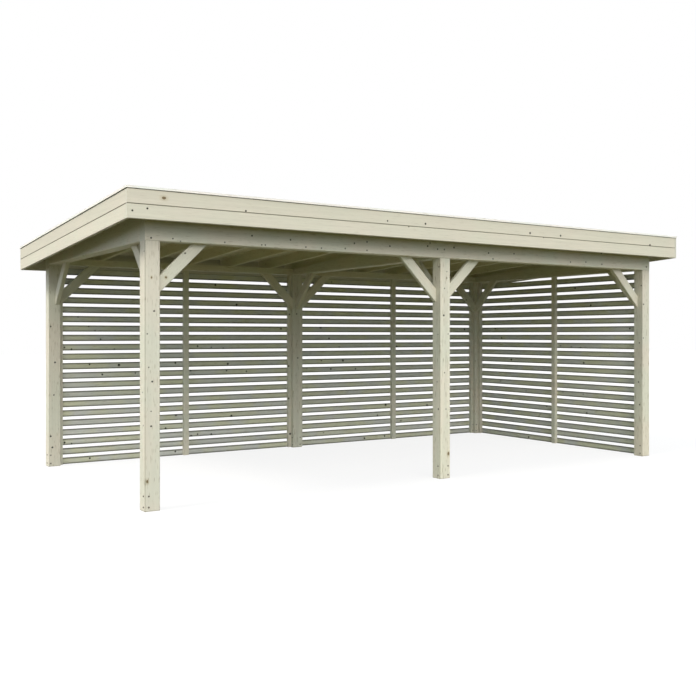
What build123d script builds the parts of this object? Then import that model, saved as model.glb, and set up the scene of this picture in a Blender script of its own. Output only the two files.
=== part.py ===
from build123d import *
import os
from math import radians, sqrt, tan

# A timber garden pergola with a closed single-pitch roof and slatted walls on its back and right side.
# Lengths are in millimetres. X runs along the front, Y from front to back, Z up from the ground.
# The origin is at ground level, in the middle of the plan.

# Post frame, measured over the outer faces of the posts
frame_length = 6075
frame_depth = 3212
post_side = 125
post_height = 2190
post_chamfer = 3

# Beams on top of the posts, flush with the outer faces of the posts
beam_width = 125
front_beam_height = 234
beam_chamfer = 5

# Knee braces at 45 degrees between the posts and the beams, set back from the posts' inner faces
brace_reach = 438
brace_width = 98
brace_thickness = 45
brace_setback = 10
brace_chamfer = 5

# Roof, falling from front to back; the overhang runs to the outer face of the fascia
roof_pitch_deg = 3
roof_overhang = 216
rafter_width = 45
rafter_height = 112
rafter_spacing = 520
deck_thickness = 18
covering_thickness = 2

# Fascia of two boards, one above the other, and the strip that holds down the edge of the covering
fascia_board_height = 116
fascia_board_gap = 2
fascia_thickness = 28
fascia_chamfer = 3
strip_height = 18
strip_width = 60
strip_overhang = 8

# Slatted walls: slats on upright battens beside the posts and on one stud near the middle of each bay
slat_height = 70
slat_gap = 34.4
slat_thickness = 16
slat_bevel = 4
slat_end_gap = 2
wall_ground_gap = 2
upright_depth = 45
batten_width = 38
stud_width = 62
back_stud_shift = 32
right_stud_shift = 63

# Places that follow from the sizes above
half_length = frame_length / 2
half_depth = frame_depth / 2
bay_length = half_length - post_side / 2
post_x_places = {"left": -bay_length, "middle": 0, "right": bay_length}
post_y_places = {"front": post_side / 2 - half_depth, "back": half_depth - post_side / 2}
roof_half_length = half_length + roof_overhang
roof_half_depth = half_depth + roof_overhang
deck_half_length = roof_half_length - fascia_thickness
deck_half_depth = roof_half_depth - fascia_thickness
roof_fall = tan(radians(roof_pitch_deg))
front_beam_top = post_height + front_beam_height
brace_inner_reach = brace_reach - brace_width * sqrt(2)

# The walls lie against the outer sides of the braces
brace_shift = (post_side - brace_thickness) / 2 - brace_setback
brace_x_shifts = {"left": brace_shift, "middle": 0, "right": -brace_shift}
brace_y_shifts = {"front": brace_shift, "back": -brace_shift}
upright_inset = post_side - brace_setback - brace_thickness


def roof_z(y, lift):
    """Height at depth y of the line that lies lift above the underside of the rafters."""
    return front_beam_top - (y + half_depth) * roof_fall + lift


back_beam_top = roof_z(half_depth - beam_width, 0)

# Lifts of the roof's layers above the underside of the rafters
deck_top = rafter_height + deck_thickness
covering_top = deck_top + covering_thickness
strip_top = covering_top + strip_height
upper_board_bottom = deck_top - fascia_board_height
lower_board_top = upper_board_bottom - fascia_board_gap
lower_board_bottom = lower_board_top - fascia_board_height


def block(low, high):
    """A box between its lowest and highest corners."""
    size = Vector(*high) - Vector(*low)
    return Pos(*low) * Box(size.X, size.Y, size.Z, align=(Align.MIN, Align.MIN, Align.MIN))


def side_prism(x_low, x_high, outline):
    """A solid with the given outline of (y, z) points, from x_low to x_high."""
    face = make_face(Polyline([(x_low, y, z) for y, z in outline], close=True))
    return extrude(face, amount=x_high - x_low, dir=(1, 0, 0))


def roof_slab(x_span, y_span, lifts):
    """A slab with plumb ends whose top and bottom follow the roof pitch, between two lifts."""
    front, back = y_span
    low, high = lifts
    outline = [
        (front, roof_z(front, low)),
        (back, roof_z(back, low)),
        (back, roof_z(back, high)),
        (front, roof_z(front, high)),
    ]
    return side_prism(x_span[0], x_span[1], outline)


def eased(solid, size):
    """The same board or brace with its four long edges chamfered."""
    return chamfer(solid.edges().sort_by(SortBy.LENGTH)[-4:], size)


def save(name, *solids):
    """Write one named piece, or one set of like pieces that don't touch."""
    shape = solids[0] if len(solids) == 1 else Compound(list(solids))
    export_step(shape, f"parts/{name}.step")


def post(x, y):
    low = (x - post_side / 2, y - post_side / 2, 0)
    high = (x + post_side / 2, y + post_side / 2, post_height)
    return chamfer(block(low, high).edges().filter_by(Axis.Z), post_chamfer)


def long_beam(front, top):
    """A beam along the whole length of the frame, with a level top and eased lower edges."""
    solid = block((-half_length, front, post_height), (half_length, front + beam_width, top))
    lower_edges = solid.edges().filter_by(Axis.X).sort_by(Axis.Z)[:2]
    return chamfer(lower_edges, beam_chamfer)


def cross_beam(x):
    """A beam between the front and back beams, its top cut to the roof pitch and its lower edges eased."""
    front = beam_width - half_depth
    back = half_depth - beam_width
    outline = [
        (front, post_height),
        (back, post_height),
        (back, roof_z(back, 0)),
        (front, roof_z(front, 0)),
    ]
    solid = side_prism(x - beam_width / 2, x + beam_width / 2, outline)
    return chamfer(solid.edges().filter_by(Axis.Y), beam_chamfer)


def knee_brace(x, y, lean_x, lean_y):
    """A brace from a face of a post up to the beam, leaning along X or Y.

    The point (x, y) lies in the middle of the brace's thickness, half a post away from its foot.
    """
    start = post_side / 2
    outline = [
        (start, post_height - brace_reach),
        (start, post_height - brace_inner_reach),
        (start + brace_inner_reach, post_height),
        (start + brace_reach, post_height),
    ]
    side_x = abs(lean_y) * brace_thickness / 2
    side_y = abs(lean_x) * brace_thickness / 2
    points = [(x + lean_x * run - side_x, y + lean_y * run - side_y, z) for run, z in outline]
    face = make_face(Polyline(points, close=True))
    solid = extrude(face, amount=brace_thickness, dir=(abs(lean_y), abs(lean_x), 0))
    return eased(solid, brace_chamfer)


def rafter(x):
    """A rafter with plumb ends and a level seat cut over the front and the back beam."""
    front_inner = beam_width - half_depth
    back_inner = half_depth - beam_width
    outline = [
        (-deck_half_depth, roof_z(-deck_half_depth, 0)),
        (-half_depth, front_beam_top),
        (front_inner, front_beam_top),
        (front_inner, roof_z(front_inner, 0)),
        (back_inner, back_beam_top),
        (half_depth, back_beam_top),
        (half_depth, roof_z(half_depth, 0)),
        (deck_half_depth, roof_z(deck_half_depth, 0)),
        (deck_half_depth, roof_z(deck_half_depth, rafter_height)),
        (-deck_half_depth, roof_z(-deck_half_depth, rafter_height)),
    ]
    return side_prism(x - rafter_width / 2, x + rafter_width / 2, outline)


def roof_edge(half_x, half_y, width, lifts):
    """Four pieces around the roof by side, each with one end against the next and one end left open."""
    inner_x = half_x - width
    inner_y = half_y - width
    return {
        "front": roof_slab((-half_x, inner_x), (-half_y, -inner_y), lifts),
        "right": roof_slab((inner_x, half_x), (-half_y, inner_y), lifts),
        "back": roof_slab((-inner_x, half_x), (inner_y, half_y), lifts),
        "left": roof_slab((-half_x, -inner_x), (-inner_y, half_y), lifts),
    }


def slatted_wall(name, clear_length, stud_shift, place):
    """One bay of wall between two posts, laid out along X with the posts' outer faces at y = 0."""
    half_clear = clear_length / 2
    upright_outer = upright_depth - upright_inset
    slat_low = (slat_end_gap - half_clear, upright_outer, wall_ground_gap)
    slat_high = (half_clear - slat_end_gap, upright_outer + slat_thickness, wall_ground_gap + slat_height)
    slat = block(slat_low, slat_high)
    slat = chamfer(slat.edges().filter_by(Axis.X), slat_bevel)
    slat_pitch = slat_height + slat_gap
    rows = int((post_height - wall_ground_gap + slat_gap) // slat_pitch)
    save(f"slats_{name}", *[place * Pos(0, 0, row * slat_pitch) * slat for row in range(rows)])

    def upright(left, width):
        low = (left, -upright_inset, wall_ground_gap)
        return place * block(low, (left + width, upright_outer, post_height))

    left_batten = upright(-half_clear, batten_width)
    stud = upright(stud_shift - stud_width / 2, stud_width)
    right_batten = upright(half_clear - batten_width, batten_width)
    save(f"studs_{name}", left_batten, stud, right_batten)


os.makedirs("parts", exist_ok=True)

# Posts and beams
for y_name, y in post_y_places.items():
    for x_name, x in post_x_places.items():
        save(f"post_{y_name}_{x_name}", post(x, y))
save("beam_front", long_beam(-half_depth, front_beam_top))
save("beam_back", long_beam(half_depth - beam_width, back_beam_top))
for x_name, x in post_x_places.items():
    save(f"beam_{x_name}", cross_beam(x))

# Knee braces along the front and back beams, and along each cross beam
for y_name, y in post_y_places.items():
    brace_y = y + brace_y_shifts[y_name]
    leans = [("left", 1), ("middle", -1), ("middle", 1), ("right", -1)]
    save(f"braces_{y_name}", *[knee_brace(post_x_places[x_name], brace_y, lean, 0) for x_name, lean in leans])
for x_name, x in post_x_places.items():
    brace_x = x + brace_x_shifts[x_name]
    leans = [("front", 1), ("back", -1)]
    save(f"braces_{x_name}", *[knee_brace(brace_x, post_y_places[y_name], 0, lean) for y_name, lean in leans])

# Rafters over each cross beam, and at even spacing from the left beam of each bay
rafters_per_bay = int((bay_length - beam_width) // rafter_spacing)
rafter_places = list(post_x_places.values())
for bay_start in (post_x_places["left"], post_x_places["middle"]):
    rafter_places += [bay_start + (i + 1) * rafter_spacing for i in range(rafters_per_bay)]
save("rafters", *[rafter(x) for x in rafter_places])

# Outermost rafters, which carry the side fascias
deck_x = (-deck_half_length, deck_half_length)
deck_y = (-deck_half_depth, deck_half_depth)
left_barge = roof_slab((-deck_half_length, rafter_width - deck_half_length), deck_y, (0, rafter_height))
right_barge = roof_slab((deck_half_length - rafter_width, deck_half_length), deck_y, (0, rafter_height))
save("barge_rafters", left_barge, right_barge)

# Roof deck and covering
save("roof_deck", roof_slab(deck_x, deck_y, (rafter_height, deck_top)))
covering_x = (-roof_half_length, roof_half_length)
covering_y = (-roof_half_depth, roof_half_depth)
save("roof_covering", roof_slab(covering_x, covering_y, (deck_top, covering_top)))

# Fascia boards and edge strips
board_lifts = {"upper": (upper_board_bottom, deck_top), "lower": (lower_board_bottom, lower_board_top)}
for row, lifts in board_lifts.items():
    boards = roof_edge(roof_half_length, roof_half_depth, fascia_thickness, lifts)
    for side, board in boards.items():
        save(f"fascia_{side}_{row}", eased(board, fascia_chamfer))
strip_half_length = roof_half_length + strip_overhang
strip_half_depth = roof_half_depth + strip_overhang
strips = roof_edge(strip_half_length, strip_half_depth, strip_width, (covering_top, strip_top))
for side, strip in strips.items():
    save(f"edge_strip_{side}", strip)

# Slatted walls in the two back bays and along the right side
back_clear = bay_length - post_side
right_clear = frame_depth - post_side - post_side
slatted_wall("back_left", back_clear, back_stud_shift, Pos(-bay_length / 2, half_depth, 0))
slatted_wall("back_right", back_clear, back_stud_shift, Pos(bay_length / 2, half_depth, 0))
slatted_wall("right", right_clear, right_stud_shift, Pos(half_length, 0, 0) * Rot(0, 0, -90))
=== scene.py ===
"""Looks of a timber garden pergola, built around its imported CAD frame. Lengths are in metres."""
import math
import random
from typing import NamedTuple

import bpy
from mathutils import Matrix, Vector


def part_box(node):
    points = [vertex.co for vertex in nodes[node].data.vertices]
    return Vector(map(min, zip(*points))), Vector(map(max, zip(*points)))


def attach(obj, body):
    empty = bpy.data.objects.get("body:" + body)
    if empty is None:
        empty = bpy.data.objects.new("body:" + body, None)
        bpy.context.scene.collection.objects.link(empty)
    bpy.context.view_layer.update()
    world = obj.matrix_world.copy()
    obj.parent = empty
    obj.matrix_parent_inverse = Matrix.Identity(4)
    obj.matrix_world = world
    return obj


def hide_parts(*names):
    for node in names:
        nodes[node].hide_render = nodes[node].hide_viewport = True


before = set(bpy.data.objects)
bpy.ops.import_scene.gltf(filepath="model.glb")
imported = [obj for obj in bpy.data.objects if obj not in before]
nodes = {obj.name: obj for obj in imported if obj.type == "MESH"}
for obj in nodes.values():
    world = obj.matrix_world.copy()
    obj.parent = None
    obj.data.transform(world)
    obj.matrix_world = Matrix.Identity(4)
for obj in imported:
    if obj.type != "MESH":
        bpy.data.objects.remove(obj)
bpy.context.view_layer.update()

# The photograph's camera: picture side, focal length and optical centre in pixels
PHOTO_SIDE = 696
FOCAL_PX = 913.99
CENTRE_PX = (401.42, 335.04)
CAMERA_PLACE = Vector((-5.5227, -8.8325, 1.4257))
CAMERA_TURN = 0.60482
SENSOR_WIDTH_MM = 36

# Sizes that the CAD part uses too
ROOF_PITCH_DEG = 3
ROOF_FALL = math.tan(math.radians(ROOF_PITCH_DEG))
DECK_THICKNESS = 0.018
COVERING_THICKNESS = 0.002
RAFTER_SPACING = 0.520
BAY_LENGTH = 2.975
SLAT_PITCH = 0.1044
SLAT_HEIGHT = 0.070
WALL_GROUND_GAP = 0.002

# Sizes, counts and seeds of what is added here
DECK_BOARD_COVER = 0.1196
DECK_BOARD_VEE = 0.004
DECK_BOARD_GAP = 0.0005
DECK_END_GAP = 0.001
DECK_JOINTS_PER_BAY = 5
DECK_SEED = 11
FELT_COURSE = 0.92
FELT_LAP = 0.003
SLAT_SCREW_RADIUS = 0.0045
SLAT_SCREW_RISE = 0.0006
SLAT_SCREW_INSET = 0.017
SLAT_SCREW_NUDGE = 0.004
SLAT_SCREW_TURN = 1.0
SLAT_SCREW_SIDES = 12
SLAT_SCREW_SEED = 23
BOLT_ACROSS_FLATS = 0.010
BOLT_HEAD_HEIGHT = 0.005
BOLT_HEAD_CHAMFER = 0.001
BOLT_HEAD_SIDES = 6
BOLT_WASHER_RADIUS = 0.0075
BOLT_WASHER_HEIGHT = 0.0015
BOLT_WASHER_SIDES = 20
BOLT_HEIGHTS = (0.034, 0.123)

# Digits of a metre that are kept when the edges of the studs are found
EDGE_DIGITS = 4

# Colours, linear; a cast is multiplied with the colour below it
FRAME_WOOD = (0.665, 0.645, 0.548)
UPPER_FASCIA_WOOD = (0.598, 0.568, 0.472)
LOWER_FASCIA_WOOD = (0.612, 0.583, 0.486)
SLAT_WOOD = (0.655, 0.655, 0.578)
# Rafters and deck boards are lighter and yellower than the frame wood: painted light in the shade under the
# roof
RAFTER_WOOD = (0.670, 0.645, 0.500)
DECK_WOOD = (0.735, 0.705, 0.555)
# The edge strips are paler than the frame wood, in part as painted light for the bright roof edge
STRIP_WOOD = (0.790, 0.780, 0.740)
FRAME_TINTS = ((0.980, 1.000, 0.988), (1.034, 0.995, 0.988))
FASCIA_TINTS = ((0.990, 1.000, 0.990), (1.012, 0.998, 0.995))
SLAT_TINTS = ((1.010, 1.012, 0.870), (0.975, 0.986, 1.060))
END_GRAIN_CAST = (0.95, 0.97, 0.98)
# Painted shade on faces that look up, against the strong light from above
TOP_SHADE_CAST = (0.46, 0.47, 0.48)
# Painted shade on eased edges and in the joints between boards
EASED_EDGE_SHADE_CAST = (0.34, 0.32, 0.27)
# Painted shade along the top and bottom edges of each slat
SLAT_EDGE_SHADE_CAST = (0.20, 0.20, 0.17)
TICK_CAST = (0.64, 0.60, 0.53)
# Painted shade where each part stands on the ground
FOOT_SHADE_CAST = (0.60, 0.58, 0.54)
DOT_DARK = (0.020, 0.018, 0.012)
KNOT_BROWN = (0.170, 0.125, 0.065)
KNOT_HALO_CAST = (0.88, 0.85, 0.77)
FELT_DARK = (0.028, 0.029, 0.031)
FELT_LIGHT = (0.072, 0.075, 0.078)
SCREW_STEEL = (0.135, 0.120, 0.095)


def seen_at(pixel, axis, level):
    """The point that the photograph shows at a pixel, on the plane where an axis has the given level.

    Returns the point and the metres that one pixel spans there.
    """
    forward = Vector((math.sin(CAMERA_TURN), math.cos(CAMERA_TURN), 0))
    right = Vector((math.cos(CAMERA_TURN), -math.sin(CAMERA_TURN), 0))
    across = (pixel[0] - CENTRE_PX[0]) / FOCAL_PX
    up = (CENTRE_PX[1] - pixel[1]) / FOCAL_PX
    ray = forward + right * across + Vector((0, 0, up))
    depth = (level - CAMERA_PLACE[axis]) / ray[axis]
    return CAMERA_PLACE + ray * depth, depth / FOCAL_PX


# Sockets of the mix node when it mixes colours, and the middle of a pattern that runs from zero to one
MIX_FACTOR, MIX_FIRST, MIX_SECOND, MIX_RESULT = 0, 6, 7, 2
MIDDLE = 0.5


class Shader:
    """A new material, or the world, with short calls that add shader nodes to it."""

    def __init__(self, block):
        self.block = block
        block.use_nodes = True
        self.tree = block.node_tree
        self.tree.nodes.clear()

    def node(self, kind, inputs, **settings):
        made = self.tree.nodes.new(kind)
        for key, value in settings.items():
            setattr(made, key, value)
        for key, value in inputs.items():
            if isinstance(value, bpy.types.NodeSocket):
                self.tree.links.new(value, made.inputs[key])
            else:
                made.inputs[key].default_value = value
        return made

    def math(self, operation, *values):
        return self.node("ShaderNodeMath", dict(enumerate(values)), operation=operation).outputs[0]

    def vary(self, base, pattern, contrast):
        """The base value, made higher and lower by a pattern that runs from zero to one."""
        return self.math("MULTIPLY_ADD", self.math("SUBTRACT", pattern, MIDDLE), contrast, base)

    def vector(self, operation, *values):
        made = self.node("ShaderNodeVectorMath", dict(enumerate(values)), operation=operation)
        return made.outputs["Value" if operation == "DISTANCE" else "Vector"]

    def combine(self, x, y, z):
        return self.node("ShaderNodeCombineXYZ", {"X": x, "Y": y, "Z": z}).outputs[0]

    def separate(self, vector):
        return self.node("ShaderNodeSeparateXYZ", {"Vector": vector}).outputs

    def ramp(self, value, low, high, at_low, at_high):
        inputs = {"Value": value, "From Min": low, "From Max": high, "To Min": at_low, "To Max": at_high}
        return self.node("ShaderNodeMapRange", inputs, interpolation_type="SMOOTHSTEP").outputs[0]

    def noise(self, vector, scale, detail, roughness):
        inputs = {"Vector": vector, "Scale": scale, "Detail": detail, "Roughness": roughness}
        return self.node("ShaderNodeTexNoise", inputs).outputs[0]

    def mix(self, factor, first, second, blend="MIX"):
        made = self.node("ShaderNodeMix", {MIX_FACTOR: factor}, data_type="RGBA", blend_type=blend)
        for index, value in ((MIX_FIRST, first), (MIX_SECOND, second)):
            if isinstance(value, bpy.types.NodeSocket):
                self.tree.links.new(value, made.inputs[index])
            else:
                made.inputs[index].default_value = (*value, 1.0)
        return made.outputs[MIX_RESULT]

    def cast(self, factor, paint, colour):
        """The paint, multiplied with a colour as far as the factor says."""
        return self.mix(factor, paint, colour, "MULTIPLY")

    def shade(self, paint, light):
        """The paint, multiplied with a brightness."""
        return self.cast(1.0, paint, self.combine(light, light, light))

    def surface(self, inputs):
        bsdf = self.node("ShaderNodeBsdfPrincipled", inputs)
        self.node("ShaderNodeOutputMaterial", {"Surface": bsdf.outputs[0]})
        return self.block


class Look(NamedTuple):
    """How the wood of a node looks.

    cells counts boards per metre along each axis, so that the boards of one node differ.
    dot_share is the share of the random knots that show.
    eased_shade_share says how far the eased edges get painted shade.
    tick_share says how dark the short marks in the grain are.
    tints are two casts that take turns over a board, tint_frequency times in a metre of its grain.
    gloss is the strength of its reflections.
    """
    colour: tuple
    grain: str
    cells: tuple = (0, 0, 0)
    cell_shift: float = 0.0
    dot_share: float = 0.15
    eased_shade_share: float = 1.0
    tick_share: float = 0.6
    tints: tuple = FRAME_TINTS
    tint_frequency: float = 2.2
    gloss: float = 0.3


# What sets the looks of some nodes apart
POST_DOT_SHARE = 0.08
SLAT_DOT_SHARE = 0.20
ROOF_DOT_SHARE = 0.40
STRIP_DOT_SHARE = 0.05
POST_TICK_SHARE = 1.0
FASCIA_TICK_SHARE = 0.2
# Lighter painted shade on the eased edges of the long fascia boards
LONG_FASCIA_EDGE_SHADE_SHARE = 0.75
STUD_CELL_SHIFT = 0.3
RAFTER_CELL_SHIFT = 0.25
SLAT_TINT_FREQUENCY = 3.1
SLAT_GLOSS = 0.08

# The grain: axes in the order along it and across it, and the sine of a brace's lean of 45 degrees
AXIS_ORDER = {"X": (0, 1, 2), "Y": (1, 0, 2), "Z": (2, 0, 1)}
HALF_ROOT = math.sqrt(0.5)

# Grain patterns: how often each repeats in a metre along the grain and across it, and its detail
STREAKS = (1.4, 55.0, 4.0)
FIBRES = (8.4, 210.0, 2.0)
TICKS = (11.0, 130.0, 1.0)
TINT_ACROSS_FREQUENCY = 2.4
TINT_DETAIL = 1.0
PATTERN_ROUGHNESS = 0.6
PATTERN_LENGTH = 40.0
SEED_STEP = 17.31

# Growth rings around a pith that lies beside the board
RING_FREQUENCY = 48.0
RING_DISTORTION = 2.6
RING_DETAIL = 2.0
RING_DETAIL_SCALE = 0.9
RING_TAPER = 0.06
PITH_NEAREST = 0.03
PITH_SPREAD = 0.16

# How strongly each pattern changes the brightness
BOARD_CONTRAST = 0.10
STREAK_CONTRAST = 0.22
FIBRE_CONTRAST = 0.10
RING_CONTRAST = 0.09
TINT_RANGE = (0.35, 0.65)
TICK_RANGE = (0.63, 0.71)

# Relief and roughness of the wood
RING_RELIEF = 0.5
FIBRE_RELIEF = 0.5
WOOD_BUMP = 0.25
WOOD_BUMP_DEPTH = 0.0006
WOOD_ROUGHNESS = 0.66
WOOD_ROUGHNESS_CONTRAST = 0.16

# Knots: random ones lie in square cells; rim and halo are ratios of distance to radius
DOT_CELLS_PER_METRE = 3.0
DOT_RADII = (0.003, 0.008)
NO_RADIUS = 0.00001
NO_KNOT = 100.0
KNOT_RIM = (0.75, 1.25)
KNOT_HALO = (0.9, 3.0)
KNOT_STRETCH = 1.5
KNOT_BEND = 0.006
WOBBLE_SIZE = 0.004

# Painted shade at the feet and along the slat edges, and how square to an axis a face is where it counts as
# eased or as an end or top; eased faces and tops get painted shade
FOOT_SHADE_HEIGHT = 0.011
SLAT_EDGE_SHADE_WIDTH = 0.024
SLAT_EDGE_SHADE_TOP = 2.125
EASED_RANGE = (0.80, 0.95)
END_AND_TOP_SHADE_RANGE = (0.85, 0.95)

# Noises: frequency in a metre, detail and roughness
WOBBLE_NOISE = (90.0, 3.0, 0.55)
GRIT_NOISE = (900.0, 2.0, 0.7)
FELT_STAIN_NOISE = (2.2, 4.0, 0.6)
WEAR_NOISE = (700.0, 3.0, 0.6)

# Felt and steel
GRIT_RANGE = (0.35, 0.72)
FELT_SHADE = 0.97
FELT_STAIN_CONTRAST = 0.5
FELT_BUMP = 0.5
FELT_BUMP_DEPTH = 0.001
FELT_ROUGHNESS = 0.92
FELT_GLOSS = 0.2
WEAR_CONTRAST = 0.7
STEEL_ROUGHNESS = 0.60
STEEL_ROUGHNESS_CONTRAST = 0.25
STEEL_METALLIC = 0.2


def grain_axes(s, grain):
    """The place, and its coordinates along the grain and across it in two directions."""
    place = s.node("ShaderNodeTexCoord", {}).outputs["Object"]
    x, y, z = s.separate(place)
    if grain in AXIS_ORDER:
        return place, [(x, y, z)[i] for i in AXIS_ORDER[grain]]
    side, other = (x, y) if grain == "lean_x" else (y, x)
    turning_point = BAY_LENGTH / 2 if grain == "lean_x" else 0.0
    from_middle = s.math("ABSOLUTE", side)
    outer = s.math("SIGN", s.math("SUBTRACT", from_middle, turning_point))
    run = s.math("MULTIPLY", outer, from_middle)
    along = s.math("MULTIPLY", s.math("SUBTRACT", z, run), HALF_ROOT)
    across = s.math("MULTIPLY", s.math("ADD", z, run), HALF_ROOT)
    return place, [along, across, other]


def random_dots(s, along, across, share):
    """Ratio of the distance from the nearest random dot to that dot's radius."""
    inputs = {"Vector": s.combine(along, across, 0.0), "Scale": DOT_CELLS_PER_METRE, "Randomness": 1.0}
    spots = s.node("ShaderNodeTexVoronoi", inputs, voronoi_dimensions="2D")
    size, presence, _ = s.separate(spots.outputs["Color"])
    radius = s.ramp(size, 0.0, 1.0, *DOT_RADII)
    shown = s.math("LESS_THAN", presence, share)
    radius = s.math("MAXIMUM", s.math("MULTIPLY", radius, shown), NO_RADIUS)
    distance = s.math("DIVIDE", spots.outputs["Distance"], DOT_CELLS_PER_METRE)
    return s.math("DIVIDE", distance, radius)


def nearest(s, here, squeeze, spots, ratio):
    """The least of the given ratio and the spots' ratios of distance to radius.

    squeeze scales the distances along each axis.
    """
    squeezed = s.vector("MULTIPLY", here, squeeze)
    for point, radius in spots:
        gap = s.vector("DISTANCE", squeezed, tuple(Vector(squeeze) * point))
        ratio = s.math("MINIMUM", ratio, s.math("DIVIDE", gap, radius))
    return ratio


def wood(name, look, seed, dots=(), knots=()):
    """Planed softwood; dots and knots list (point, radius) of small black knots and larger brown ones."""
    s = Shader(bpy.data.materials.new(name))
    place, (along, across_a, across_b) = grain_axes(s, look.grain)

    # Random values for each board, which take its grain from another part of the patterns
    shift = (look.cell_shift, look.cell_shift, look.cell_shift)
    cell = s.vector("FLOOR", s.vector("MULTIPLY_ADD", place, look.cells, shift))
    board = s.vector("ADD", cell, (seed * SEED_STEP, seed, seed / SEED_STEP))
    chance = s.node("ShaderNodeTexWhiteNoise", {"Vector": board}, noise_dimensions="3D").outputs["Color"]
    chance_a, chance_b, chance_c = s.separate(chance)
    far_along = s.math("MULTIPLY_ADD", chance_a, PATTERN_LENGTH, along)
    across = s.math("ADD", across_a, across_b)
    far_across = s.math("MULTIPLY_ADD", chance_b, PATTERN_LENGTH, across)

    # Knots
    wobble = s.vary(0.0, s.noise(place, *WOBBLE_NOISE), WOBBLE_SIZE)
    here = s.vector("ADD", place, s.combine(wobble, wobble, wobble))
    even = (1.0, 1.0, 1.0)
    squeeze = list(even)
    if look.grain in AXIS_ORDER:
        squeeze[AXIS_ORDER[look.grain][0]] /= KNOT_STRETCH
    scattered = random_dots(s, far_along, far_across, look.dot_share)
    dot_ratio = nearest(s, here, even, dots, scattered)
    knot_ratio = nearest(s, here, squeeze, knots, NO_KNOT)
    dot = s.ramp(dot_ratio, *KNOT_RIM, 1.0, 0.0)
    core = s.ramp(knot_ratio, *KNOT_RIM, 1.0, 0.0)
    halo = s.ramp(knot_ratio, *KNOT_HALO, 1.0, 0.0)

    # Grain: growth rings, streaks and fine fibres, all bent around knots
    bend = s.math("MULTIPLY", halo, KNOT_BEND)
    bent = s.math("ADD", far_across, bend)
    pith_a = s.math("MULTIPLY_ADD", chance_a, PITH_SPREAD, s.math("ADD", bend, PITH_NEAREST))
    pith_b = s.math("MULTIPLY_ADD", chance_b, PITH_SPREAD, PITH_NEAREST)
    ring_place = s.combine(
        s.math("MULTIPLY", far_along, RING_TAPER),
        s.math("ADD", across_a, pith_a),
        s.math("ADD", across_b, pith_b),
    )
    inputs = {
        "Vector": ring_place,
        "Scale": RING_FREQUENCY,
        "Distortion": RING_DISTORTION,
        "Detail": RING_DETAIL,
        "Detail Scale": RING_DETAIL_SCALE,
    }
    rings = s.node("ShaderNodeTexWave", inputs, wave_type="RINGS", rings_direction="X").outputs["Fac"]
    grain_place = s.combine(far_along, bent, chance_a)

    def pattern(along_frequency, across_frequency, detail):
        stretched = s.vector("MULTIPLY", grain_place, (along_frequency, across_frequency, 1.0))
        return s.noise(stretched, 1.0, detail, PATTERN_ROUGHNESS)

    streaks = pattern(*STREAKS)
    fibres = pattern(*FIBRES)
    ticks = pattern(*TICKS)
    patches = pattern(look.tint_frequency, TINT_ACROSS_FREQUENCY, TINT_DETAIL)

    # Colour
    light = s.vary(1.0, chance_c, BOARD_CONTRAST)
    light = s.vary(light, streaks, STREAK_CONTRAST)
    light = s.vary(light, fibres, FIBRE_CONTRAST)
    light = s.vary(light, rings, -RING_CONTRAST)
    tint = s.mix(s.ramp(patches, *TINT_RANGE, 0.0, 1.0), *look.tints)
    paint = s.shade(s.cast(1.0, look.colour, tint), light)
    paint = s.cast(s.ramp(ticks, *TICK_RANGE, 0.0, look.tick_share), paint, TICK_CAST)
    height_up = s.separate(place)[2]
    rows_per_metre = look.cells[2]
    if rows_per_metre:
        level = s.math("FRACT", s.math("MULTIPLY_ADD", height_up, rows_per_metre, look.cell_shift))
        from_middle = s.math("ABSOLUTE", s.math("SUBTRACT", level, MIDDLE))
        rim = SLAT_HEIGHT / 2 * rows_per_metre
        # Painted shade along the top and bottom edges of each slat, up to a height below the beams
        slat_edge_shade = s.ramp(from_middle, rim - SLAT_EDGE_SHADE_WIDTH * rows_per_metre, rim, 0.0, 1.0)
        slat_edge_shade = s.math("MULTIPLY", slat_edge_shade, s.math("LESS_THAN", height_up, SLAT_EDGE_SHADE_TOP))
        paint = s.cast(slat_edge_shade, paint, SLAT_EDGE_SHADE_CAST)
    if look.grain in AXIS_ORDER:
        normal = s.separate(s.node("ShaderNodeNewGeometry", {}).outputs["True Normal"])
        # Painted shade on faces that look up
        paint = s.cast(s.ramp(normal[2], *END_AND_TOP_SHADE_RANGE, 0.0, 1.0), paint, TOP_SHADE_CAST)
        facing = [s.math("ABSOLUTE", part) for part in normal]
        ends = s.ramp(facing[AXIS_ORDER[look.grain][0]], *END_AND_TOP_SHADE_RANGE, 0.0, 1.0)
        paint = s.cast(ends, paint, s.cast(rings, END_GRAIN_CAST, END_GRAIN_CAST))
        squarest = s.math("MAXIMUM", facing[0], s.math("MAXIMUM", facing[1], facing[2]))
        # Painted shade on eased edges
        paint = s.cast(s.ramp(squarest, *EASED_RANGE, look.eased_shade_share, 0.0), paint, EASED_EDGE_SHADE_CAST)
    # Painted shade at the foot of every part, where it meets the ground
    paint = s.cast(s.ramp(height_up, 0.0, FOOT_SHADE_HEIGHT, 1.0, 0.0), paint, FOOT_SHADE_CAST)
    paint = s.cast(halo, paint, KNOT_HALO_CAST)
    paint = s.mix(core, paint, KNOT_BROWN)
    paint = s.mix(dot, paint, DOT_DARK)

    # Relief and gloss
    relief = s.math("MULTIPLY_ADD", rings, RING_RELIEF, streaks)
    relief = s.math("MULTIPLY_ADD", fibres, FIBRE_RELIEF, relief)
    relief = s.math("SUBTRACT", relief, core)
    bump = s.node("ShaderNodeBump", {"Strength": WOOD_BUMP, "Distance": WOOD_BUMP_DEPTH, "Height": relief})
    return s.surface({
        "Base Color": paint,
        "Roughness": s.vary(WOOD_ROUGHNESS, streaks, WOOD_ROUGHNESS_CONTRAST),
        "Normal": bump.outputs[0],
        "Specular IOR Level": look.gloss,
    })


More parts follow.
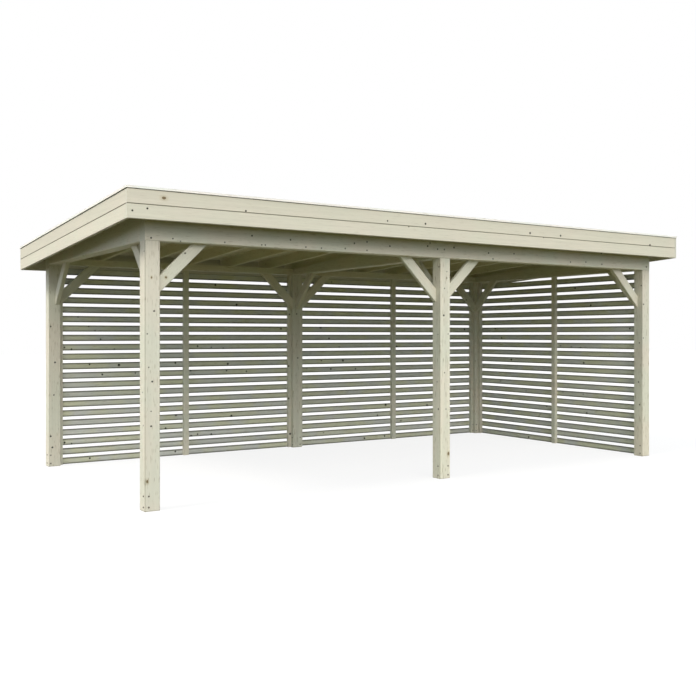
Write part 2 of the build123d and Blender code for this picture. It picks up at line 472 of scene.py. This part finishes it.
def felt():
    """Mineral-faced roofing felt: dark with pale grit."""
    s = Shader(bpy.data.materials.new("roofing_felt_grit"))
    place = s.node("ShaderNodeTexCoord", {}).outputs["Object"]
    grit = s.noise(place, *GRIT_NOISE)
    stains = s.noise(place, *FELT_STAIN_NOISE)
    paint = s.mix(s.ramp(grit, *GRIT_RANGE, 0.0, 1.0), FELT_DARK, FELT_LIGHT)
    bump = s.node("ShaderNodeBump", {"Strength": FELT_BUMP, "Distance": FELT_BUMP_DEPTH, "Height": grit})
    return s.surface({
        "Base Color": s.shade(paint, s.vary(FELT_SHADE, stains, FELT_STAIN_CONTRAST)),
        "Roughness": FELT_ROUGHNESS,
        "Normal": bump.outputs[0],
        "Specular IOR Level": FELT_GLOSS,
    })


def steel():
    """Dark coated screw steel with light scratches."""
    s = Shader(bpy.data.materials.new("screw_steel_coated"))
    place = s.node("ShaderNodeTexCoord", {}).outputs["Object"]
    wear = s.noise(place, *WEAR_NOISE)
    return s.surface({
        "Base Color": s.shade(SCREW_STEEL, s.vary(1.0, wear, WEAR_CONTRAST)),
        "Roughness": s.vary(STEEL_ROUGHNESS, wear, STEEL_ROUGHNESS_CONTRAST),
        "Metallic": STEEL_METALLIC,
    })


# Knots that show in the photograph: pixel across and down, and radius in pixels
FASCIA_DOTS = [
    (132.4, 210.4, 0.70), (147.4, 208.4, 0.70), (245.9, 211.0, 0.65), (387.6, 220.9, 0.55),
    (425.5, 223.8, 0.70), (408.8, 226.5, 0.50), (530.1, 233.1, 0.70), (543.6, 237.6, 0.40),
    (560.6, 235.7, 0.65), (650.0, 245.1, 0.70),
]
BEAM_DOTS = [
    (139.2, 233.7, 0.50), (151.1, 237.8, 0.60), (172.9, 238.6, 0.50), (180.6, 241.3, 0.45),
    (224.8, 242.4, 0.50), (252.0, 235.7, 0.60), (261.8, 244.9, 0.45), (265.3, 245.0, 0.50),
    (290.5, 239.8, 0.60), (305.9, 247.1, 0.50), (321.4, 248.2, 0.50), (345.2, 248.5, 0.50),
    (354.4, 243.3, 0.60), (367.0, 250.3, 0.50), (367.0, 241.9, 0.50), (389.9, 246.1, 0.55),
    (427.7, 246.1, 0.60), (430.1, 243.0, 0.45), (437.6, 249.2, 0.50), (444.4, 249.5, 0.50),
    (454.0, 247.5, 0.65), (488.6, 253.0, 0.55), (493.0, 258.9, 0.50), (514.0, 253.7, 0.50),
    (570.5, 262.0, 0.50), (585.9, 262.1, 0.50), (601.9, 264.3, 0.50), (646.3, 266.9, 0.50),
]
LEFT_POST_DOTS = [
    (154.1, 311.1, 0.60), (147.2, 333.9, 0.45), (148.8, 367.3, 0.45), (152.2, 381.6, 0.65),
    (151.1, 411.3, 0.40), (151.1, 426.2, 0.60),
]
LEFT_POST_SIDE_DOTS = [(144.1, 251.3, 0.50), (142.6, 392.5, 0.45), (143.4, 425.6, 0.50)]
MIDDLE_POST_DOTS = [
    (446.9, 271.7, 0.35), (446.9, 278.0, 0.35), (444.6, 288.4, 0.40), (443.8, 315.4, 0.65),
    (448.2, 334.0, 0.35), (444.6, 372.7, 0.40), (446.0, 409.1, 0.40),
]
MIDDLE_POST_SIDE_DOTS = [
    (438.9, 266.8, 0.50), (438.0, 334.5, 0.35), (437.1, 381.8, 0.40), (438.3, 409.1, 0.60),
]
RIGHT_POST_DOTS = [(643.7, 304.3, 0.50), (643.4, 338.0, 0.40)]
RIGHT_POST_SIDE_DOTS = [
    (641.2, 285.6, 0.45), (639.4, 342.9, 0.45), (638.5, 382.0, 0.50), (639.6, 404.7, 0.50),
]
BACK_LEFT_POST_DOTS = [
    (50.7, 326.5, 0.50), (55.0, 362.4, 0.60), (53.9, 395.0, 0.45), (50.7, 436.3, 0.60),
    (52.4, 447.4, 0.60),
]
BACK_POST_DOTS = [(296.7, 313.9, 0.45), (297.8, 357.9, 0.45)]
BACK_STUD_DOTS = [
    (289.4, 314.4, 0.50), (288.6, 366.1, 0.60), (288.5, 398.4, 0.60), (290.1, 433.8, 0.70),
]
BRACE_DOTS = [(185.2, 253.2, 0.60)]
LEFT_BAY_DOTS = [
    (78.0, 316.8, 0.50), (88.7, 326.2, 0.50), (95.2, 331.0, 0.50), (100.6, 339.2, 0.50),
    (64.4, 347.4, 0.50), (71.5, 349.2, 0.50), (114.3, 349.2, 0.50), (89.6, 364.4, 0.50),
    (118.9, 365.0, 0.80), (175.4, 362.9, 0.60), (102.3, 374.5, 0.60), (135.4, 373.0, 0.40),
    (175.9, 415.1, 0.70), (165.6, 428.3, 0.65), (64.6, 442.6, 0.60), (71.5, 443.6, 0.45),
    (89.8, 458.2, 0.60), (175.3, 451.5, 0.55), (215.4, 284.9, 0.60), (236.5, 304.7, 0.65),
    (281.0, 328.8, 0.60), (197.6, 346.2, 0.55), (211.2, 347.3, 0.40), (223.2, 348.3, 0.50),
    (227.8, 363.8, 0.70), (190.7, 370.7, 0.50), (226.5, 370.5, 0.50), (246.4, 371.3, 0.50),
    (231.4, 415.9, 0.75), (197.6, 434.1, 0.50), (211.2, 434.1, 0.55), (191.1, 435.8, 0.50),
]
MIDDLE_BAY_DOTS = [
    (320.7, 327.5, 0.70), (329.0, 338.4, 0.55), (339.2, 347.0, 0.45), (321.4, 360.5, 0.45),
    (342.9, 360.5, 0.70), (396.6, 346.3, 0.55), (330.8, 369.0, 0.55), (355.4, 368.8, 0.45),
    (385.7, 404.6, 0.75), (377.5, 415.3, 0.50), (427.0, 405.2, 0.65), (400.9, 420.8, 0.45),
    (364.5, 438.2, 0.60), (384.6, 436.0, 0.50), (464.4, 329.3, 0.50),
]
RIGHT_WALL_DOTS = [
    (575.1, 288.1, 0.55), (590.8, 305.3, 0.60), (495.2, 328.5, 0.55), (629.8, 328.5, 0.60),
    (501.6, 338.0, 0.55), (560.4, 345.8, 0.40), (571.3, 346.8, 0.40), (580.6, 347.4, 0.45),
    (511.3, 359.5, 0.65), (583.8, 362.8, 0.65), (546.7, 406.1, 0.60), (586.8, 413.1, 0.65),
    (539.1, 416.2, 0.50), (528.7, 437.1, 0.60),
]

# A picture softens small spots, so they are made larger than they show
SPOT_GAIN = 1.5

# The nodes they are on, and the axis square to the face that shows them
X, Y = 0, 1
PHOTO_DOTS = [
    ("fascia_front_upper", Y, FASCIA_DOTS),
    ("fascia_front_lower", Y, FASCIA_DOTS),
    ("beam_front", Y, BEAM_DOTS),
    ("post_front_left", Y, LEFT_POST_DOTS),
    ("post_front_left", X, LEFT_POST_SIDE_DOTS),
    ("post_front_middle", Y, MIDDLE_POST_DOTS),
    ("post_front_middle", X, MIDDLE_POST_SIDE_DOTS),
    ("post_front_right", Y, RIGHT_POST_DOTS),
    ("post_front_right", X, RIGHT_POST_SIDE_DOTS),
    ("post_back_left", Y, BACK_LEFT_POST_DOTS),
    ("post_back_middle", Y, BACK_POST_DOTS),
    ("studs_back_left", Y, BACK_STUD_DOTS),
    ("braces_front", Y, BRACE_DOTS),
    ("slats_back_left", Y, LEFT_BAY_DOTS),
    ("slats_back_right", Y, MIDDLE_BAY_DOTS),
    ("slats_right", X, RIGHT_WALL_DOTS),
]
PHOTO_KNOTS = [
    ("fascia_front_upper", Y, [(164.0, 198.0, 0.95)]),
    ("post_front_left", Y, [(147.2, 481.7, 0.75), (151.6, 277.5, 0.50)]),
    ("post_front_middle", Y, [(448.4, 453.6, 0.80)]),
    ("braces_front", Y, [(166.0, 277.4, 0.75)]),
]


def spots_on(node, seen):
    """Points and radii of the spots that the photograph shows on a node."""
    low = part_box(node)[0]
    spots = []
    for owner, axis, pixels in seen:
        if owner == node:
            for across, down, radius in pixels:
                point, metres_per_pixel = seen_at((across, down), axis, low[axis])
                spots.append((point, radius * metres_per_pixel * SPOT_GAIN))
    return spots


def look_of(node):
    """The look of a CAD node's wood, from its name."""
    words = node.split("_")
    sideways = any(word in words[:2] for word in ("left", "right", "middle"))
    level = "Y" if sideways else "X"
    if words[0] == "post":
        # Only the front posts get painted shade on their eased edges
        eased = 1.0 if words[1] == "front" else 0.0
        return Look(FRAME_WOOD, "Z", dot_share=POST_DOT_SHARE, eased_shade_share=eased, tick_share=POST_TICK_SHARE)
    if words[0] == "studs":
        return Look(FRAME_WOOD, "Z", (1, 1, 0), STUD_CELL_SHIFT, eased_shade_share=0.0)
    if words[0] == "braces":
        return Look(FRAME_WOOD, "lean_y" if sideways else "lean_x", (1, 1, 0))
    if words[0] == "slats":
        gap_share = (SLAT_PITCH - SLAT_HEIGHT) / 2 / SLAT_PITCH
        return Look(
            SLAT_WOOD, level, (0, 0, 1 / SLAT_PITCH), gap_share - WALL_GROUND_GAP / SLAT_PITCH,
            dot_share=SLAT_DOT_SHARE, tints=SLAT_TINTS, tint_frequency=SLAT_TINT_FREQUENCY, gloss=SLAT_GLOSS,
        )
    if words[-1] == "rafters":
        cells = (2 / RAFTER_SPACING, 0, 0)
        return Look(RAFTER_WOOD, "Y", cells, RAFTER_CELL_SHIFT, dot_share=ROOF_DOT_SHARE, eased_shade_share=0.0)
    if words[0] == "edge":
        along = "Y" if words[-1] in ("left", "right") else "X"
        return Look(STRIP_WOOD, along, dot_share=STRIP_DOT_SHARE, eased_shade_share=0.0)
    if words[0] == "fascia":
        darker = words[-1] == "upper" and words[1] != "left"
        colour = UPPER_FASCIA_WOOD if darker else LOWER_FASCIA_WOOD
        eased = 1.0 if sideways else LONG_FASCIA_EDGE_SHADE_SHARE
        return Look(colour, level, eased_shade_share=eased, tick_share=FASCIA_TICK_SHARE, tints=FASCIA_TINTS)
    return Look(FRAME_WOOD, level, eased_shade_share=0.0)


def dress(piece, material):
    piece.data.materials.clear()
    piece.data.materials.append(material)


for seed, node in enumerate(sorted(nodes)):
    if node not in ("roof_deck", "roof_covering"):
        dots = spots_on(node, PHOTO_DOTS)
        knots = spots_on(node, PHOTO_KNOTS)
        dress(nodes[node], wood(f"wood_{node}", look_of(node), seed, dots, knots))


def piece_from(name, vertices, faces, material):
    """A new piece of the object, made of the given faces."""
    mesh = bpy.data.meshes.new(name)
    mesh.from_pydata(vertices, [], faces)
    mesh.update()
    piece = bpy.data.objects.new(name, mesh)
    bpy.context.scene.collection.objects.link(piece)
    dress(piece, material)
    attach(piece, "root")
    return piece


def add_bar(vertices, faces, outline, x_low, x_high):
    """A closed bar along X with the given (y, z) outline, listed anticlockwise seen from +X."""
    first = len(vertices)
    count = len(outline)
    for x in (x_low, x_high):
        vertices.extend((x, y, z) for y, z in outline)
    for i in range(count):
        j = (i + 1) % count
        faces.append((first + i, first + j, first + count + j, first + count + i))
    faces.append(tuple(first + i for i in reversed(range(count))))
    faces.append(tuple(first + count + i for i in range(count)))


def roof_boards():
    """Matched boards on the rafters, with a vee at each joint below and end joints over rafters."""
    low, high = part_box("roof_deck")
    rng = random.Random(DECK_SEED)
    depth = high.y - low.y
    count = round(depth / DECK_BOARD_COVER)
    cover = depth / count
    steps = range(1, DECK_JOINTS_PER_BAY + 1)
    joints = [start + step * RAFTER_SPACING for start in (-BAY_LENGTH, 0.0) for step in steps]
    vertices, faces = [], []

    def on_slope(y, lift):
        return y, high.z - DECK_THICKNESS - (y - low.y) * ROOF_FALL + lift

    for board in range(count):
        y_low = low.y + board * cover + DECK_BOARD_GAP
        y_high = low.y + (board + 1) * cover - DECK_BOARD_GAP
        outline = [
            on_slope(y_low + DECK_BOARD_VEE, 0.0),
            on_slope(y_high - DECK_BOARD_VEE, 0.0),
            on_slope(y_high, DECK_BOARD_VEE),
            on_slope(y_high, DECK_THICKNESS),
            on_slope(y_low, DECK_THICKNESS),
            on_slope(y_low, DECK_BOARD_VEE),
        ]
        joint = rng.choice(joints)
        add_bar(vertices, faces, outline, low.x, joint - DECK_END_GAP)
        add_bar(vertices, faces, outline, joint + DECK_END_GAP, high.x)
    cells = (1 / BAY_LENGTH, 1 / cover, 0)
    look = Look(DECK_WOOD, "X", cells, -low.y / cover, dot_share=ROOF_DOT_SHARE)
    material = wood("wood_roof_boards", look, len(nodes))
    piece = piece_from("roof_boards", vertices, faces, material)
    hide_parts("roof_deck")


def felt_courses():
    """Roofing felt laid along the roof, each course lapped over the one below it."""
    low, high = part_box("roof_covering")
    depth = high.y - low.y
    count = round(depth / FELT_COURSE)
    course = depth / count

    def on_slope(y, lift):
        return y, high.z - COVERING_THICKNESS - (y - low.y) * ROOF_FALL + lift

    outline = [on_slope(low.y, 0.0), on_slope(high.y, 0.0)]
    for k in reversed(range(count)):
        lap = 0.0 if k == count - 1 else FELT_LAP
        outline.append(on_slope(low.y + (k + 1) * course, COVERING_THICKNESS + lap))
        outline.append(on_slope(low.y + k * course, COVERING_THICKNESS))
    vertices, faces = [], []
    add_bar(vertices, faces, outline, low.x, high.x)
    piece = piece_from("felt_courses", vertices, faces, felt())
    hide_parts("roof_covering")


def add_turned(vertices, faces, centre, outward, profile, sides, turn=0.0):
    """A turned head on a face: profile lists (radius, rise) from the rim to the middle."""
    first = len(vertices)
    up = Vector((0, 0, 1))
    side = up.cross(outward)
    for radius, rise in profile:
        for i in range(sides):
            angle = turn + i * math.tau / sides
            offset = side * (radius * math.cos(angle)) + up * (radius * math.sin(angle))
            vertices.append(tuple(centre + offset + outward * rise))
    for ring in range(len(profile) - 1):
        base = first + ring * sides
        for i in range(sides):
            j = (i + 1) % sides
            faces.append((base + i, base + j, base + sides + j, base + sides + i))
    last = first + (len(profile) - 1) * sides
    faces.append(tuple(last + i for i in range(sides)))


# Where the bolts are across a post, as shares of its side: front and back faces, then left and right ones
# None stands for faces without bolts
BOLT_SHARES = {
    "post_front_left": (-0.25, -0.25),
    "post_front_middle": (0.29, -0.25),
    "post_front_right": (None, -0.25),
    "post_back_left": (-0.32, -0.06),
    "post_back_middle": (0.30, -0.38),
    "post_back_right": (-0.38, -0.06),
}


def foot_bolts(material):
    """Bolts with washers near the foot of every post, two on each face that has them."""
    washer = [
        (BOLT_WASHER_RADIUS, 0.0),
        (BOLT_WASHER_RADIUS, BOLT_WASHER_HEIGHT),
        (BOLT_WASHER_RADIUS / 2, BOLT_WASHER_HEIGHT),
    ]
    corner = BOLT_ACROSS_FLATS / math.sqrt(3)
    head_top = BOLT_WASHER_HEIGHT + BOLT_HEAD_HEIGHT
    head = [
        (corner, BOLT_WASHER_HEIGHT),
        (corner, head_top - BOLT_HEAD_CHAMFER),
        (corner - BOLT_HEAD_CHAMFER, head_top),
    ]
    vertices, faces = [], []
    for node, (front_share, side_share) in BOLT_SHARES.items():
        low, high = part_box(node)
        side = high.x - low.x
        for outward in (Vector((0, -1, 0)), Vector((-1, 0, 0)), Vector((0, 1, 0)), Vector((1, 0, 0))):
            share = front_share if outward.y else side_share
            if share is None:
                continue
            across = Vector((abs(outward.y), abs(outward.x), 0))
            for height in BOLT_HEIGHTS:
                centre = (low + high) / 2 + outward * (side / 2) + across * (share * side)
                centre.z = height
                add_turned(vertices, faces, centre, outward, washer, BOLT_WASHER_SIDES)
                add_turned(vertices, faces, centre, outward, head, BOLT_HEAD_SIDES)
    piece_from("foot_bolts", vertices, faces, material)


def slat_screws(material):
    """Two countersunk screws where each slat crosses an upright, on the outside of the walls."""
    rim_share, slot_share, recess_share = 0.92, 0.42, 0.30
    profile = [
        (SLAT_SCREW_RADIUS, 0.0),
        (SLAT_SCREW_RADIUS * rim_share, SLAT_SCREW_RISE),
        (SLAT_SCREW_RADIUS * slot_share, SLAT_SCREW_RISE),
        (SLAT_SCREW_RADIUS * recess_share, -SLAT_SCREW_RISE),
    ]
    vertices, faces = [], []
    rng = random.Random(SLAT_SCREW_SEED)
    for bay in ("back_left", "back_right", "right"):
        low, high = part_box(f"slats_{bay}")
        run = X if bay.startswith("back") else Y
        outward = Vector((0, 1, 0)) if run == X else Vector((1, 0, 0))
        studs = [v.co for v in nodes[f"studs_{bay}"].data.vertices]
        edges = sorted({round(co[run], EDGE_DIGITS) for co in studs})
        uprights = [(a + b) / 2 for a, b in zip(edges[0::2], edges[1::2])]
        rows = round((high.z - low.z - SLAT_HEIGHT) / SLAT_PITCH) + 1
        for row in range(rows):
            base = low.z + row * SLAT_PITCH
            for upright in uprights:
                for height in (base + SLAT_SCREW_INSET, base + SLAT_HEIGHT - SLAT_SCREW_INSET):
                    centre = Vector((high.x, high.y, height))
                    centre[run] = upright + rng.uniform(-SLAT_SCREW_NUDGE, SLAT_SCREW_NUDGE)
                    turn = rng.uniform(0.0, SLAT_SCREW_TURN)
                    add_turned(vertices, faces, centre, outward, profile, SLAT_SCREW_SIDES, turn)
    piece_from("slat_screws", vertices, faces, material)


roof_boards()
felt_courses()
screw_material = steel()
foot_bolts(screw_material)
slat_screws(screw_material)

# Floor and background: pale to the camera, with the object's faint shadow on the floor
FLOOR_HALF = 60.0
BOUNCE_CENTRE = (1.3, 0.0, 0.0)
NEAR_BOUNCE = (0.149, 0.147, 0.048)
FAR_BOUNCE = (0.052, 0.050, 0.013)
BOUNCE_RANGE = (2.4, 4.8)
FLOOR_PALE = (0.80, 0.80, 0.80)
SHADOW_SHARE = 0.15
SKY_COLOUR = (0.90, 0.988, 1.06)
SKY_STRENGTH = 1.12
SKY_RIGHT_GAIN = 0.04
HORIZON_SHARE = 1.06
HORIZON_TOP = 0.26

# Lamps: direction, strength and spread in degrees
FRONT_LIGHT = ((0.25, 1.0, -0.72), 1.61, 46)
LEFT_LIGHT = ((0.81, 0.05, -1.0), 2.5, 16)
LAMP_COLOUR = (1.065, 0.985, 0.880)
WHITE = (1.0, 1.0, 1.0, 1.0)


def seen_directly(s):
    """One where a ray comes from the camera or from a mirror or glass, else zero."""
    path = s.node("ShaderNodeLightPath", {}).outputs
    mirrored = s.math("MAXIMUM", path["Is Glossy Ray"], path["Is Transmission Ray"])
    return s.math("MAXIMUM", path["Is Camera Ray"], mirrored)


def floor():
    """A wide floor: white with a faint shadow where seen directly, and a dull ground as a light."""
    corners = [(-1, -1), (1, -1), (1, 1), (-1, 1)]
    mesh = bpy.data.meshes.new("floor")
    mesh.from_pydata([(x * FLOOR_HALF, y * FLOOR_HALF, 0) for x, y in corners], [], [(0, 1, 2, 3)])
    plane = bpy.data.objects.new("floor", mesh)
    bpy.context.scene.collection.objects.link(plane)
    s = Shader(bpy.data.materials.new("floor_pale"))
    from_centre = s.vector("DISTANCE", s.node("ShaderNodeTexCoord", {}).outputs["Object"], BOUNCE_CENTRE)
    outside = s.ramp(from_centre, *BOUNCE_RANGE, 0.0, 1.0)
    bounce = s.node("ShaderNodeBsdfDiffuse", {"Color": s.mix(outside, NEAR_BOUNCE, FAR_BOUNCE)})
    pale = s.node("ShaderNodeBsdfDiffuse", {"Color": (*FLOOR_PALE, 1.0)})
    white = s.node("ShaderNodeEmission", {"Color": WHITE, "Strength": 1.0})
    shown = s.node("ShaderNodeMixShader", {0: SHADOW_SHARE, 1: white.outputs[0], 2: pale.outputs[0]})
    both = s.node("ShaderNodeMixShader", {0: seen_directly(s), 1: bounce.outputs[0], 2: shown.outputs[0]})
    s.node("ShaderNodeOutputMaterial", {"Surface": both.outputs[0]})
    dress(plane, s.block)


def background():
    """White where seen directly; as a light, a sky slightly brighter near the horizon and to the right."""
    world = bpy.data.worlds.new("studio")
    bpy.context.scene.world = world
    s = Shader(world)
    across, _, up = s.separate(s.node("ShaderNodeTexCoord", {}).outputs["Generated"])
    lean = s.math("MULTIPLY_ADD", across, SKY_RIGHT_GAIN * SKY_STRENGTH, SKY_STRENGTH)
    strength = s.math("MULTIPLY", lean, s.ramp(up, 0.0, HORIZON_TOP, HORIZON_SHARE, 1.0))
    sky = s.node("ShaderNodeBackground", {"Color": (*SKY_COLOUR, 1.0), "Strength": strength})
    white = s.node("ShaderNodeBackground", {"Color": WHITE, "Strength": 1.0})
    both = s.node("ShaderNodeMixShader", {0: seen_directly(s), 1: sky.outputs[0], 2: white.outputs[0]})
    s.node("ShaderNodeOutputWorld", {"Surface": both.outputs[0]})


def soft_light(name, towards, strength, spread_deg):
    """A far, broad studio light that shines in the given direction."""
    data = bpy.data.lights.new(name, "SUN")
    data.energy = strength
    data.angle = math.radians(spread_deg)
    data.color = LAMP_COLOUR
    lamp = bpy.data.objects.new(name, data)
    lamp.rotation_euler = Vector(towards).to_track_quat("-Z", "Y").to_euler()
    bpy.context.scene.collection.objects.link(lamp)


floor()
background()
soft_light("front_light", *FRONT_LIGHT)
soft_light("left_light", *LEFT_LIGHT)

camera = bpy.data.objects.new("camera", bpy.data.cameras.new("camera"))
bpy.context.scene.collection.objects.link(camera)
camera.location = CAMERA_PLACE
camera.rotation_euler = (math.pi / 2, 0, -CAMERA_TURN)
camera.data.sensor_width = SENSOR_WIDTH_MM
camera.data.sensor_fit = "HORIZONTAL"
camera.data.lens = FOCAL_PX / PHOTO_SIDE * SENSOR_WIDTH_MM
camera.data.shift_x = (PHOTO_SIDE / 2 - CENTRE_PX[0]) / PHOTO_SIDE
camera.data.shift_y = (CENTRE_PX[1] - PHOTO_SIDE / 2) / PHOTO_SIDE
bpy.context.scene.camera = camera
bpy.context.scene.view_settings.view_transform = "Standard"
